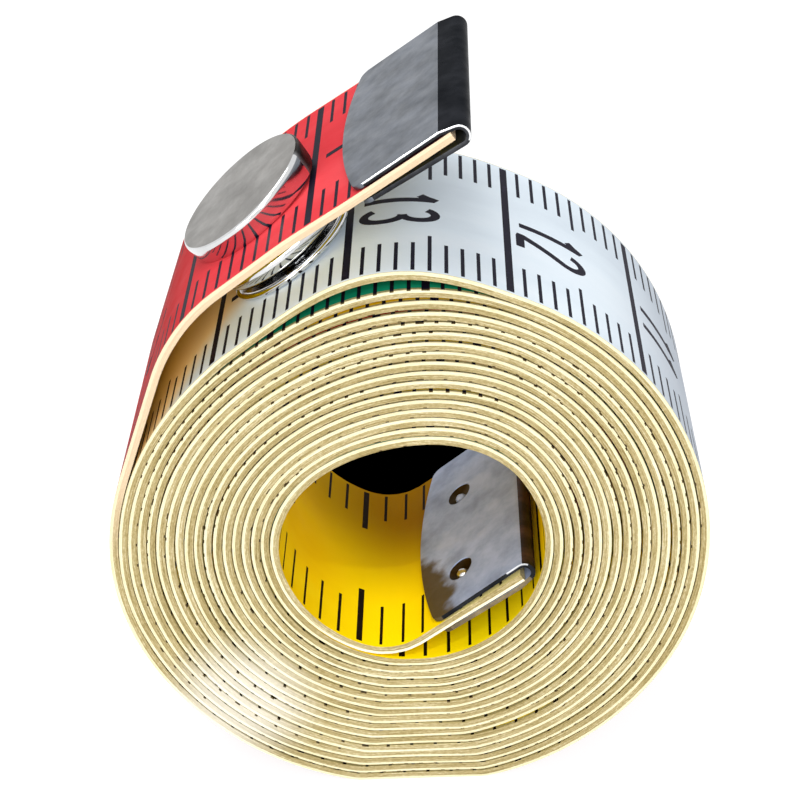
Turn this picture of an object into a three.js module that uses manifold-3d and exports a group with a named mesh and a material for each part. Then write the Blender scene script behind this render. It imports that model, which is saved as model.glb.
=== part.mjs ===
// Cloth tape measure, rolled up and closed with its snap fastener.
// Millimetres, +Z up. The roll stands on a small flat under its axis, and its axis runs along Y.
// Everything is drawn in the front view, as seen from -Y: x to the right, y up, depth towards the viewer.
import * as THREE from 'three';
import { mergeVertices } from 'three/addons/utils/BufferGeometryUtils.js';
import Module from 'manifold-3d';

const wasm = await Module();
wasm.setup();

// The tape. Its outer face carries the centimetres, its inner face the inches.
const tapeWidth = 19;
const clothThickness = 0.55;
// The cloth is drawn thinner than it is, so that every turn stands clear of the next.
const drawnThickness = 0.17;

// The roll, wound clockwise from the inner end. Radii are to the tape's outer face.
const innermostRadius = 8.8;
const turnPitch = 0.62;
const wholeTurns = 17;
const tailLeavesAt = 245;
const flapLeavesAt = 168;
const facetsPerTurn = 40;

// The roll is pressed in at its upper left. Beside the snap the outermost turn lifts, and the one
// under it lifts a little. Angles named back are turned back from where the flap leaves.
const pressedDepth = 1.2;
const pressedInsideAngle = 105;
const pressedBackAngle = 40;
const pressedSpread = { right: { inner: 75, outer: 58 }, left: { inner: 80, outer: 72 } };
const liftedHeight = { outermost: 0.88, next: 0.3 };
const liftedBackAngle = 75;
const liftedSpread = 28;
const seatRaise = 0.16;
const seatBackAngle = 54;
const seatSpread = 30;
const seatSectorAngle = 60;

// The flat that the roll stands on. It is a touch hollow, so that it stands on its two edges.
const footDepth = 0.5;
const footHollow = 0.02;
const footWidthShare = 0.96;

// The outer end rises off the roll, bends over it and ends in a metal clip.
const risingBackAngle = 99;
const liftOffRadius = 25;
const risingLength = 7.25;
const bendRadius = 12.6;
const bendSteps = 8;
const snapBackAngle = 132.5;
const snapFromBend = 2.7;
const snapStretch = 4.2;
const endBackAngle = 137;
const easeRadius = 30;
const easeSteps = 2;
const endStretch = 10.9;
const hingeGap = 0.3;

// The inner end turns into the hole and ends in a clip too.
const tailBendAngle = 59.5;
const tailBendRadius = 4.35;
const tailBendSteps = 7;
const tailStretch = 8.2;

// Clips, folded from sheet around the tape's ends.
const clipSheet = 0.3;
const clipPlay = { nose: 0.33, freeEdge: 0.06 };
const clipLength = 8.85;
const clipCrown = 1.2;
const clipInset = 0.15;
const clipCorner = 0.6;
const clipNose = 1;
const noseBevelLength = 1.6;
const noseBevelAngle = 12;
const noseSteps = 10;
const clipHole = { length: 1.9, width: 2.1, fromNose: 5.4, fromMiddle: 4.7, offset: 0.6 };

// The snap fastener. Heights are from the face of the tape that a piece sits on.
const seatGap = 0.04;
const snapHeight = 3.1;
// The snap sits a little off the middle of the tape, towards the viewer.
const snapOffset = 1.3;
const snapSides = 36;
const cap = { topRadius: 4.75, radius: 5.2, height: 1.65, sheet: 0.35, rimWidth: 0.7 };
const capPost = { radius: 1.1, bore: 0.7, flare: 1.75, flareHeight: 0.3 };
const postClearance = 0.3;
const socket = {
  topRadius: 3, radius: 4.75, lipRadius: 4.25, lipGap: 0.3, plate: 0.4,
  boreRadius: 2.15, grooveRadius: 2.95, grooveFloor: 0.35, grooveHeight: 0.8, bulgeHeight: 1.05,
};
const spring = { wireRadius: 0.3, radius: 2.3, opening: 40, sides: 8, steps: 24 };
const stud = {
  flangeInset: 0.15, flangeThickness: 0.42, rim: 0.12, neckRadius: 1.3, headRadius: 1.6,
  neckHeight: 0.75, headHeight: 1.3, height: 2.1, bore: 1.15, crown: 0.3,
};
const eyelet = { flangeRadius: 2.1, thickness: 0.15, radius: 0.85, bore: 0.5, reach: 1.35 };
const snapShares = {
  capBulge: 1 / 3, socketShoulder: 0.6, socketFlank: 0.88, socketFlankHeight: 0.55,
  studCrown: 0.88, studCrownStart: 0.35, studCrownFall: 1 / 3,
};
const cutOverrun = 1;

// Materials, as the photograph shows them.
const finish = (color, roughness, metalness) =>
  new THREE.MeshStandardMaterial({ color, roughness, metalness });
const clothFinish = finish(0xe9dfae, 0.6, 0);
const flapFinish = finish(0xf04650, 0.55, 0);
const tailFinish = finish(0xf5cf1c, 0.55, 0);
const clipFinish = finish(0x7d8288, 0.4, 0.9);
const capFinish = finish(0xb4b6b8, 0.35, 0.95);
const chromeFinish = finish(0xd4d6d8, 0.15, 1);
const springFinish = finish(0xa9abad, 0.3, 1);

const degrees = THREE.MathUtils.degToRad;
const mix = THREE.MathUtils.lerp;
const along = (angle) => new THREE.Vector2(Math.cos(degrees(angle)), Math.sin(degrees(angle)));

// Measures that follow from the sizes above.
const risingAngle = flapLeavesAt - risingBackAngle;
const snapAngle = flapLeavesAt - snapBackAngle;
const endAngle = flapLeavesAt - endBackAngle;
const tailHeading = tailLeavesAt - 270;
const tailAngle = tailHeading + tailBendAngle;
const pressedAt = { inner: pressedInsideAngle, outer: flapLeavesAt - pressedBackAngle };
const liftedAt = flapLeavesAt - liftedBackAngle;
const seatRaisedAt = flapLeavesAt - seatBackAngle;
const clipWidth = tapeWidth - 2 * clipInset;
const turns = wholeTurns + (tailLeavesAt - flapLeavesAt) / 360;
const nominalRadius = (turn) => innermostRadius + turnPitch * turn;
const turnsAtFoot = turns - (270 - flapLeavesAt) / 360;
const footReach = nominalRadius(turnsAtFoot);
const axisHeight = footReach - footDepth;
const footHalfAngle = THREE.MathUtils.radToDeg(
  Math.acos(axisHeight / footReach)) * footWidthShare;

// A smooth swelling: 1 at its middle, falling to 0 over the spread on its side.
function swelling(offset, spread) {
  const share = Math.abs(offset) / spread;
  return share < 1 ? Math.cos(share * Math.PI / 2) ** 2 : 0;
}

// The angle from one direction to another, between -180 and 180 degrees.
function turnFrom(from, to) {
  return THREE.MathUtils.euclideanModulo(to - from + 180, 360) - 180;
}

// How far a turn lifts beside the snap.
function liftOf(turn) {
  const turnsOver = turns - turn;
  if (turnsOver < 1) return liftedHeight.outermost;
  return turnsOver < 2 ? liftedHeight.next : 0;
}

// Radius of the tape's outer face after some turns, at an angle, without the snap's seat.
function rollRadius(turn, angle) {
  const share = turn / turns;
  const offset = turnFrom(mix(pressedAt.inner, pressedAt.outer, share), angle);
  const side = offset < 0 ? pressedSpread.right : pressedSpread.left;
  let radius = nominalRadius(turn);
  radius -= pressedDepth * swelling(offset, mix(side.inner, side.outer, share));
  radius += liftOf(turn) * swelling(turnFrom(liftedAt, angle), liftedSpread);
  const fromFoot = turnFrom(270, angle);
  const turnOverFoot = turn + fromFoot / 360;
  const footShare = turnOverFoot / turnsAtFoot;
  const hollow = footHollow * swelling(fromFoot, footHalfAngle);
  const flat = nominalRadius(turnOverFoot) - (footDepth + hollow) * footShare;
  if (Math.abs(fromFoot) < 90) radius = Math.min(radius, flat / Math.cos(degrees(fromFoot)));
  return radius;
}

// A route drawn from a start point in a heading, by straights and bends; left turns are positive.
class Route {
  constructor(start, heading) {
    this.heading = heading;
    this.points = [start.clone()];
  }
  get end() { return this.points[this.points.length - 1]; }
  straight(length) {
    this.points.push(this.end.clone().addScaledVector(along(this.heading), length));
    return this;
  }
  bend(radius, angle, steps) {
    const step = angle / steps;
    const chord = 2 * radius * Math.sin(degrees(Math.abs(step) / 2));
    for (let i = 0; i < steps; i++) {
      this.heading += step / 2;
      this.straight(chord);
      this.heading += step / 2;
    }
    return this;
  }
}

// The outer end: off the roll, up, over the bend, past the snap and on to the clip.
const rollPoint = (turn, angle, radius = rollRadius(turn, angle)) =>
  along(angle).multiplyScalar(radius);
const flapStart = rollPoint(turns, flapLeavesAt);
const beforeFlap = rollPoint(turns - 1 / 360, flapLeavesAt + 1);
const leavingHeading = THREE.MathUtils.radToDeg(flapStart.clone().sub(beforeFlap).angle());
const rise = new Route(flapStart, leavingHeading)
  .bend(liftOffRadius, risingAngle - leavingHeading, 1)
  .straight(risingLength - hingeGap);
const hingeRoute = new Route(rise.end, rise.heading).straight(hingeGap);
const flapHingePoint = hingeRoute.end;
const flapRoute = new Route(flapHingePoint, rise.heading)
  .bend(bendRadius, snapAngle - risingAngle, bendSteps);
const bendEnd = flapRoute.end;
flapRoute.straight(snapStretch)
  .bend(easeRadius, endAngle - snapAngle, easeSteps)
  .straight(endStretch);

// The snap's axis stands square on the flap; the turn below stays under the stud's flat seat.
const snapAxis = along(snapAngle + 90);
const capSeat = bendEnd.clone().addScaledVector(along(snapAngle), snapFromBend);
const studSeat = capSeat.clone().addScaledVector(snapAxis, -clothThickness - snapHeight);
const seatDistance = studSeat.dot(snapAxis);

// Radius of the last turn where it stands up to the stud's seat.
function seatedRadius(turn, angle) {
  const radius = rollRadius(turn, angle);
  const fromAxis = turnFrom(snapAngle + 90, angle);
  if (turns - turn > 1 || Math.abs(fromAxis) > seatSectorAngle) return radius;
  const raised = radius + seatRaise * swelling(turnFrom(seatRaisedAt, angle), seatSpread);
  return Math.min(raised, seatDistance / Math.cos(degrees(fromAxis)));
}

// Angles, in degrees clockwise from the tail's end of the roll, at which a turn has its corners.
function stationAngles() {
  const whole = turns * 360;
  const footAfter = THREE.MathUtils.euclideanModulo(tailLeavesAt - 270, 360);
  const free = facetsPerTurn - 2;
  const step = (360 - 2 * footHalfAngle) / free;
  const inTurn = [0];
  for (let i = 0; i <= free; i++) inTurn.push(footHalfAngle + i * step);
  const angles = [0];
  for (let turn = -1; turn <= turns + 1; turn++) {
    for (const angle of inTurn) {
      const at = footAfter + turn * 360 + angle;
      if (at > step / 4 && at < whole - step / 4) angles.push(at);
    }
  }
  return [...angles, whole];
}

const rollPath = stationAngles().map((swept) => {
  const angle = tailLeavesAt - swept;
  return rollPoint(swept / 360, angle, seatedRadius(swept / 360, angle));
});

// The inner end leaves the first turn inwards and runs straight into its clip.
const tailRoute = new Route(rollPath[0], tailHeading)
  .bend(tailBendRadius, tailBendAngle, tailBendSteps);
const tailHingePoint = tailRoute.end;
const tailEnd = new Route(tailHingePoint, tailAngle).straight(tailStretch);

// A strip of tape along a route from the inner end outwards; its outer face lies on the route.
function stripGeometry(route) {
  const positions = [];
  const triangles = [];
  route.forEach((point, i) => {
    const before = route[Math.max(i - 1, 0)];
    const after = route[Math.min(i + 1, route.length - 1)];
    const heading = after.clone().sub(before).normalize();
    const inner = point.clone().add(
      new THREE.Vector2(heading.y, -heading.x).multiplyScalar(drawnThickness));
    for (const corner of [point, inner]) {
      for (const side of [1, -1]) positions.push(corner.x, corner.y, side * tapeWidth / 2);
    }
    if (i === 0) return;
    const [a, b] = [4 * (i - 1), 4 * i];
    const faces = [[1, 0], [0, 2], [2, 3], [3, 1]];
    for (const [from, to] of faces) {
      triangles.push(a + from, a + to, b + to, a + from, b + to, b + from);
    }
  });
  const last = positions.length / 3 - 4;
  triangles.push(0, 1, 3, 0, 3, 2, last, last + 3, last + 1, last, last + 2, last + 3);
  const geometry = new THREE.BufferGeometry();
  geometry.setAttribute('position', new THREE.Float32BufferAttribute(positions, 3));
  geometry.setIndex(triangles);
  return geometry;
}

// The least gap between one turn's outer face and the inner face of the turn around it.
function leastGap(route) {
  const inwards = (i) => {
    const heading = route[i + 1].clone().sub(route[i - 1]).normalize();
    return new THREE.Vector2(heading.y, -heading.x);
  };
  let least = { gap: Infinity };
  for (let i = facetsPerTurn / 2; i < route.length - 1; i++) {
    const inner = route[i].clone().addScaledVector(inwards(i), drawnThickness);
    const from = Math.max(i - 2 * facetsPerTurn, 1);
    for (let j = from; j < i - facetsPerTurn / 2; j++) {
      const side = route[j].clone().sub(route[j - 1]);
      const share = THREE.MathUtils.clamp(
        inner.clone().sub(route[j - 1]).dot(side) / side.lengthSq(), 0, 1);
      const gap = route[j - 1].clone().addScaledVector(side, share).distanceTo(inner);
      if (gap < least.gap) least = { gap, place: inner };
    }
  }
  return least;
}

function routeLength(route) {
  return route.slice(1).reduce((sum, point, i) => sum + point.distanceTo(route[i]), 0);
}

// Joins and cuts.
function solidOf(geometry) {
  const bare = geometry.clone();
  bare.deleteAttribute('normal');
  bare.deleteAttribute('uv');
  const merged = mergeVertices(bare, 1e-5);
  return new wasm.Manifold(new wasm.Mesh({
    numProp: 3,
    vertProperties: new Float32Array(merged.attributes.position.array),
    triVerts: new Uint32Array(merged.index.array),
  }));
}

function geometryOf(solid) {
  const mesh = solid.getMesh();
  const geometry = new THREE.BufferGeometry();
  geometry.setAttribute('position', new THREE.BufferAttribute(mesh.vertProperties, 3));
  geometry.setIndex(new THREE.BufferAttribute(mesh.triVerts, 1));
  return geometry;
}

// A round cutter along the snap's axis, through the tape at a seat and no deeper than the cloth.
function postCutter(seat, radius) {
  const height = cutOverrun + clothThickness;
  const cutter = new THREE.CylinderGeometry(radius, radius, height, snapSides);
  cutter.rotateZ(degrees(snapAngle));
  const middle = seat.clone().addScaledVector(snapAxis, cutOverrun - height / 2);
  return solidOf(cutter.translate(middle.x, middle.y, snapOffset));
}

// Closed outline of a sheet of some thickness whose middle follows the points.
function sheetOutline(points, thickness) {
  const side = (sign) => points.map((point, i) => {
    const before = points[Math.max(i - 1, 0)];
    const after = points[Math.min(i + 1, points.length - 1)];
    const heading = after.clone().sub(before).normalize();
    return point.clone().add(
      new THREE.Vector2(-heading.y, heading.x).multiplyScalar(sign * thickness / 2));
  });
  return new THREE.Shape([...side(1), ...side(-1).reverse()]);
}

// A clip, in its own frame: x towards its nose from the tape's end, y off the outer face.
function clipGeometry(holes) {
  const upper = clipPlay.nose + clipSheet / 2;
  const lower = -clothThickness - upper;
  const pinch = clipPlay.nose - clipPlay.freeEdge;
  const bevel = along(-noseBevelAngle);
  const tip = clipNose - clipSheet / 2;
  const bevelStart = new THREE.Vector2(clipNose - noseBevelLength, upper);
  // The nose is an arc that touches the bevel and the lower plate.
  const half = degrees((180 - noseBevelAngle) / 2);
  const flatSide = bevelStart.x;
  const noseRadiusAt = (x) => {
    const height = upper - (x - flatSide) * Math.tan(degrees(noseBevelAngle)) - lower;
    return height / 2;
  };
  let noseCentreX = tip - noseRadiusAt(tip);
  for (let i = 0; i < 4; i++) noseCentreX = tip - noseRadiusAt(noseCentreX);
  const noseRadius = noseRadiusAt(noseCentreX);
  const centre = new THREE.Vector2(noseCentreX, lower + noseRadius);
  const middle = [new THREE.Vector2(clipNose - clipLength, upper - pinch), bevelStart];
  for (let i = 0; i <= noseSteps; i++) {
    const angle = mix(90 - noseBevelAngle, -90, i / noseSteps);
    middle.push(centre.clone().addScaledVector(along(angle), noseRadius));
  }
  middle.push(new THREE.Vector2(clipNose - clipLength, lower + pinch));
  const depth = clipWidth;
  const folded = new THREE.ExtrudeGeometry(
    sheetOutline(middle, clipSheet), { depth, bevelEnabled: false });
  folded.translate(0, 0, -depth / 2);
  // The plan: a free edge that bows out between rounded corners, and a straight nose.
  const back = clipNose - clipLength;
  const halfWidth = clipWidth / 2;
  const bow = (halfWidth ** 2 + clipCrown ** 2) / (2 * clipCrown);
  const bowEnd = Math.asin((halfWidth - clipCorner) / bow);
  const plan = new THREE.Shape();
  plan.moveTo(clipNose + cutOverrun, -halfWidth - cutOverrun);
  plan.lineTo(clipNose + cutOverrun, halfWidth + cutOverrun);
  plan.lineTo(back + clipCrown + clipCorner, halfWidth + cutOverrun);
  plan.lineTo(back + clipCrown + clipCorner, halfWidth);
  plan.lineTo(back + bow - bow * Math.cos(bowEnd), halfWidth - clipCorner);
  plan.absarc(back + bow, 0, bow, Math.PI - bowEnd, Math.PI + bowEnd, false);
  plan.lineTo(back + clipCrown + clipCorner, -halfWidth);
  plan.lineTo(back + clipCrown + clipCorner, -halfWidth - cutOverrun);
  plan.closePath();
  const thick = upper - lower + 2 * (clipSheet + cutOverrun);
  const planCutter = new THREE.ExtrudeGeometry(
    plan, { depth: thick, bevelEnabled: false, curveSegments: 14 });
  planCutter.translate(0, 0, -thick / 2).rotateX(-Math.PI / 2);
  planCutter.translate(0, (upper + lower) / 2, 0);
  let clip = solidOf(folded).intersect(solidOf(planCutter));
  if (holes) {
    for (const side of [-1, 1]) {
      const hole = new THREE.CylinderGeometry(clipHole.width / 2, clipHole.width / 2, thick, 20);
      hole.scale(clipHole.length / clipHole.width, 1, 1);
      const across = clipHole.offset + side * clipHole.fromMiddle;
      hole.translate(clipNose - clipHole.fromNose, (upper + lower) / 2, across);
      clip = clip.subtract(solidOf(hole));
    }
  }
  return geometryOf(clip);
}

// Turned pieces of the snap; profiles are radius and height, and the axis is the snap's.
function turned(profile) {
  const points = profile.map(([radius, height]) => new THREE.Vector2(radius, height));
  points.push(points[0].clone());
  if (THREE.ShapeUtils.area(points) < 0) points.reverse();
  return new THREE.LatheGeometry(points, snapSides);
}

function capGeometry() {
  const under = cap.height - cap.sheet;
  const bottom = -clothThickness - 2 * seatGap - socket.plate - capPost.flareHeight;
  const shoulder = (cap.radius - cap.topRadius) / 2;
  const rimInner = cap.radius - cap.rimWidth;
  return turned([
    [0, seatGap + cap.height], [cap.topRadius, seatGap + cap.height],
    [cap.topRadius + shoulder, seatGap + cap.height - shoulder / 2],
    [cap.radius - shoulder * snapShares.capBulge, seatGap + cap.height / 2 + shoulder / 2],
    [cap.radius, seatGap + cap.sheet], [cap.radius - shoulder / 2, seatGap],
    [rimInner, seatGap], [rimInner, seatGap + cap.sheet],
    [cap.radius - cap.sheet - shoulder / 2, seatGap + cap.sheet],
    [cap.topRadius, seatGap + under - shoulder / 2], [cap.topRadius - shoulder, seatGap + under],
    [capPost.radius, seatGap + under], [capPost.radius, bottom + capPost.flareHeight - seatGap],
    [capPost.flare, bottom], [capPost.bore, bottom],
    [capPost.bore, seatGap], [0, seatGap],
  ]);
}

function socketGeometry() {
  // Heights are from the stud's seat.
  const top = snapHeight - seatGap;
  const lip = stud.flangeThickness + seatGap + socket.lipGap;
  const floor = lip + socket.grooveFloor;
  const ceiling = top - socket.plate;
  return turned([
    [capPost.radius + postClearance, top], [socket.topRadius, top],
    [mix(socket.topRadius, socket.radius, snapShares.socketShoulder), top - socket.plate],
    [mix(socket.topRadius, socket.radius, snapShares.socketFlank),
      mix(top, lip + socket.bulgeHeight, snapShares.socketFlankHeight)],
    [socket.radius, lip + socket.bulgeHeight], [socket.radius - seatGap, lip + socket.plate],
    [socket.lipRadius, lip], [socket.boreRadius, lip + seatGap], [socket.boreRadius, floor],
    [socket.grooveRadius, floor], [socket.grooveRadius, floor + socket.grooveHeight],
    [socket.boreRadius, floor + socket.grooveHeight + socket.plate], [socket.boreRadius, ceiling],
    [capPost.radius + postClearance, ceiling],
  ]);
}

function springGeometry() {
  const section = new THREE.Shape();
  section.absarc(0, 0, spring.wireRadius, 0, 2 * Math.PI, false);
  const half = degrees(spring.opening / 2);
  class Ring extends THREE.Curve {
    getPoint(share) {
      const angle = mix(half, 2 * Math.PI - half, share);
      return new THREE.Vector3(Math.cos(angle), 0, Math.sin(angle)).multiplyScalar(spring.radius);
    }
  }
  const height = seatGap + stud.flangeThickness + socket.lipGap + socket.grooveFloor
    + socket.grooveHeight / 2;
  const wire = new THREE.ExtrudeGeometry(section, {
    steps: spring.steps, curveSegments: spring.sides, extrudePath: new Ring(), bevelEnabled: false,
  });
  return wire.translate(0, height, 0);
}

function studGeometry() {
  const base = seatGap;
  const flangeRadius = socket.radius - stud.flangeInset;
  const face = base + stud.flangeThickness;
  const top = base + stud.height;
  const head = base + stud.headHeight;
  return turned([
    [0, top], [stud.headRadius / 2, top - stud.crown * snapShares.studCrownFall],
    [stud.headRadius * snapShares.studCrown, top - stud.crown],
    [stud.headRadius, mix(head, top, snapShares.studCrownStart)],
    [stud.headRadius, head], [stud.neckRadius, base + stud.neckHeight], [stud.neckRadius, face],
    [flangeRadius - 3 * stud.rim, face - stud.rim], [flangeRadius - 2 * stud.rim, face],
    [flangeRadius - stud.rim, face], [flangeRadius, base + stud.flangeThickness / 2],
    [flangeRadius - stud.rim, base], [stud.bore, base], [stud.bore, top - 2 * stud.crown],
    [0, top - 2 * stud.crown],
  ]);
}

function eyeletGeometry() {
  const under = -clothThickness - seatGap;
  return turned([
    [eyelet.bore, under - eyelet.thickness], [eyelet.flangeRadius, under - eyelet.thickness],
    [eyelet.flangeRadius, under], [eyelet.radius, under], [eyelet.radius, eyelet.reach],
    [eyelet.bore, eyelet.reach],
  ]);
}

// Assembly in the front view. The nested groups carry the pieces of each moving end.
const tapeMeasure = new THREE.Group();
const frontView = new THREE.Group();
frontView.rotation.x = Math.PI / 2;
frontView.position.z = axisHeight;
tapeMeasure.add(frontView);

function addPiece(parent, name, geometry, material) {
  const mesh = new THREE.Mesh(geometry, material);
  mesh.name = name;
  parent.add(mesh);
  return mesh;
}

function addFrame(parent, place, angle, depth = 0) {
  const frame = new THREE.Group();
  frame.position.set(place.x, place.y, depth);
  frame.rotation.z = degrees(angle);
  parent.add(frame);
  return frame;
}

const woundRoute = [
  ...tailRoute.points.slice(1).reverse(), ...rollPath, ...rise.points.slice(1),
];
const wound = solidOf(stripGeometry(woundRoute))
  .subtract(postCutter(studSeat, eyelet.radius + postClearance));
addPiece(frontView, 'tape_roll', geometryOf(wound), clothFinish);

const flapPoints = new Route(flapHingePoint, risingAngle).points.concat(flapRoute.points.slice(1));
const flapStrip = solidOf(stripGeometry(flapPoints))
  .subtract(postCutter(capSeat, capPost.radius + postClearance));
addPiece(frontView, 'tape_flap', geometryOf(flapStrip), flapFinish);

const tailPoints = [
  tailEnd.end, tailHingePoint.clone().addScaledVector(along(tailAngle), hingeGap),
];
addPiece(frontView, 'tape_tail', stripGeometry(tailPoints), tailFinish);

addPiece(addFrame(frontView, flapRoute.end, endAngle), 'outer_end_clip',
  clipGeometry(false), clipFinish);

// On the inner end the outer face looks down, so its clip is turned over.
const tailFrame = addFrame(frontView, tailEnd.end, tailAngle);
const tailClip = addPiece(tailFrame, 'inner_end_clip', clipGeometry(true), clipFinish);
tailClip.rotation.x = Math.PI;

const capFrame = addFrame(frontView, capSeat, snapAngle, snapOffset);
addPiece(capFrame, 'snap_cap', capGeometry(), capFinish);
const studFrame = addFrame(frontView, studSeat, snapAngle, snapOffset);
addPiece(studFrame, 'snap_socket', socketGeometry(), chromeFinish);
addPiece(studFrame, 'socket_ring_spring', springGeometry(), springFinish);
addPiece(studFrame, 'snap_stud', studGeometry(), chromeFinish);
addPiece(studFrame, 'stud_eyelet', eyeletGeometry(), chromeFinish);

const shown = (value) => value.toFixed(3);
const least = leastGap(woundRoute);
console.log('least gap between turns', shown(least.gap), 'mm at', shown(least.place.x),
  shown(least.place.y + axisHeight));
console.log('tape length', shown(
  routeLength(woundRoute) + routeLength(flapPoints) + routeLength(tailPoints)), 'mm');
console.log('flap hinge at', shown(flapHingePoint.x), shown(flapHingePoint.y + axisHeight));
console.log('tail hinge at', shown(tailHingePoint.x), shown(tailHingePoint.y + axisHeight));

export default tapeMeasure;
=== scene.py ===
# Looks of the cloth tape measure: printed tape, clips, snap fastener, floor, light and camera.
import math

import bmesh
import bpy
import numpy as np
from mathutils import Matrix, Vector


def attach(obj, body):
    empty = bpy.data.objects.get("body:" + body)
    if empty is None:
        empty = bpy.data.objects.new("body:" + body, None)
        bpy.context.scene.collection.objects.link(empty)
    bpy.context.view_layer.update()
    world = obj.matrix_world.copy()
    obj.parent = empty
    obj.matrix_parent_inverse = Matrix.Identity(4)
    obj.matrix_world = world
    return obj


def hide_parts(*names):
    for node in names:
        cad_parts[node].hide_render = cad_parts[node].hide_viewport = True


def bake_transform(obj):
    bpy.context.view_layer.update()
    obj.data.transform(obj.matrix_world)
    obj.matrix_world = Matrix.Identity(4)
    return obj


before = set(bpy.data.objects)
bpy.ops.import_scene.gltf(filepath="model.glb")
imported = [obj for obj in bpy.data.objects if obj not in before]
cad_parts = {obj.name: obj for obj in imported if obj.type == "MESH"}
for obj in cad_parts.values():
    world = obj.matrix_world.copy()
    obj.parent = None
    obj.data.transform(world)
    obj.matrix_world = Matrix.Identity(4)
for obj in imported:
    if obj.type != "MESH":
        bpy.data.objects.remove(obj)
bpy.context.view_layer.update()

MM = 0.001

# The tape, in millimetres, on the same path as the model's. Its outer face carries the centimetres.
WIDTH, CLOTH = 19.0, 0.55
INNERMOST, PITCH, WHOLE_TURNS = 8.8, 0.62, 17
TAIL_AT, FLAP_AT = 245.0, 168.0
PRESS, PRESS_AT = 1.2, (105.0, 128.0)
PRESS_RIGHT, PRESS_LEFT = (75.0, 58.0), (80.0, 72.0)
LIFTS, LIFT_AT, LIFT_SPREAD = (0.88, 0.3, 0.15, 0.06), 93.0, 28.0
SEAT_RAISE, SEAT_RAISED_AT, SEAT_SPREAD = 0.16, 114.0, 30.0
FOOT, FOOT_HOLLOW, FOOT_WIDTH_SHARE, FOOT_AT, FOOT_SOFTNESS = 0.5, 0.02, 0.96, 270, 0.035
RISE_ANGLE, RISE_RADIUS, RISE_LENGTH = 69.0, 25.0, 7.25
BEND_RADIUS, SNAP_ANGLE, SNAP_FROM_BEND, SNAP_STRETCH = 12.6, 35.5, 2.7, 4.2
EASE_RADIUS, END_ANGLE, END_STRETCH = 30.0, 31.0, 10.9
TAIL_ANGLE, TAIL_RADIUS, TAIL_STRETCH = 34.5, 4.35, 8.2
SNAP_HEIGHT, SNAP_OFFSET = 3.1, 1.3
# How far the free end stands up, and over what length.
END_LIFT, END_LIFT_REACH = 0.22, 7.6
# Flats are worked out only this far round from their middles, in degrees.
NEAR = 60
SWEEP_STEP, BEND_STEPS_PER_DEGREE, STEPS_PER_MM = 0.5, 2, 4

TURNS = WHOLE_TURNS + (TAIL_AT - FLAP_AT) / 360
TURNS_AT_FOOT = TURNS - (FOOT_AT - FLAP_AT) / 360
FOOT_REACH = INNERMOST + PITCH * TURNS_AT_FOOT
AXIS_HEIGHT = FOOT_REACH - FOOT
FOOT_HALF = math.degrees(math.acos(AXIS_HEIGHT / FOOT_REACH)) * FOOT_WIDTH_SHARE


def heading(angle):
    return np.array([math.cos(math.radians(angle)), math.sin(math.radians(angle))])


def turn_from(a, b):
    return (b - a + 180) % 360 - 180


def swelling(offset, spread):
    share = np.clip(np.abs(offset) / spread, 0, 1)
    return np.cos(share * math.pi / 2) ** 2


def mix(a, b, share):
    return a + (b - a) * share


def left_sides(path):
    """Directions square to a path at its points, to its left."""
    along = np.gradient(path, axis=0)
    along /= np.linalg.norm(along, axis=1)[:, None]
    return np.stack([-along[:, 1], along[:, 0]], axis=1)


def roll_radius(turn, angle):
    """Radius of the tape's outer face, with the foot's flat eased in."""
    share = turn / TURNS
    offset = turn_from(mix(*PRESS_AT, share), angle)
    spread = np.where(offset < 0, mix(*PRESS_RIGHT, share), mix(*PRESS_LEFT, share))
    radius = INNERMOST + PITCH * turn - PRESS * swelling(offset, spread)
    over = TURNS - turn
    lift = sum(np.where((over >= n) & (over < n + 1), LIFTS[n], 0) for n in range(len(LIFTS)))
    radius = radius + lift * swelling(turn_from(LIFT_AT, angle), LIFT_SPREAD)
    from_foot = np.clip(turn_from(FOOT_AT, angle), -NEAR, NEAR)
    over_foot = turn + from_foot / 360
    hollow = FOOT_HOLLOW * swelling(from_foot, FOOT_HALF)
    flat = INNERMOST + PITCH * over_foot - (FOOT + hollow) * over_foot / TURNS_AT_FOOT
    flat = flat / np.cos(np.radians(from_foot))
    least = np.minimum(radius, flat)
    return least - FOOT_SOFTNESS * np.log1p(np.exp(-np.abs(radius - flat) / FOOT_SOFTNESS))


def bend(point, angle, radius, turned):
    """Points along a bend from a point in a heading, and the heading after it."""
    steps = max(4, int(abs(turned) * BEND_STEPS_PER_DEGREE))
    points, step = [], turned / steps
    chord = 2 * radius * math.sin(math.radians(abs(step)) / 2)
    for _ in range(steps):
        angle += step / 2
        point = point + heading(angle) * chord
        angle += step / 2
        points.append(point)
    return points, angle


def straight(point, angle, length):
    steps = max(2, int(length * STEPS_PER_MM))
    return [point + heading(angle) * length * (i + 1) / steps for i in range(steps)]


def lifted_end(points):
    """Points with the last ones shifted to their left, more and more towards the end."""
    end = points[-1]
    out = (end - points[-2]) / np.linalg.norm(end - points[-2])
    left = np.array([-out[1], out[0]])
    shares = [max(0.0, 1 - np.linalg.norm(end - p) / END_LIFT_REACH) for p in points]
    return [p + left * END_LIFT * share for p, share in zip(points, shares)]


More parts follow.
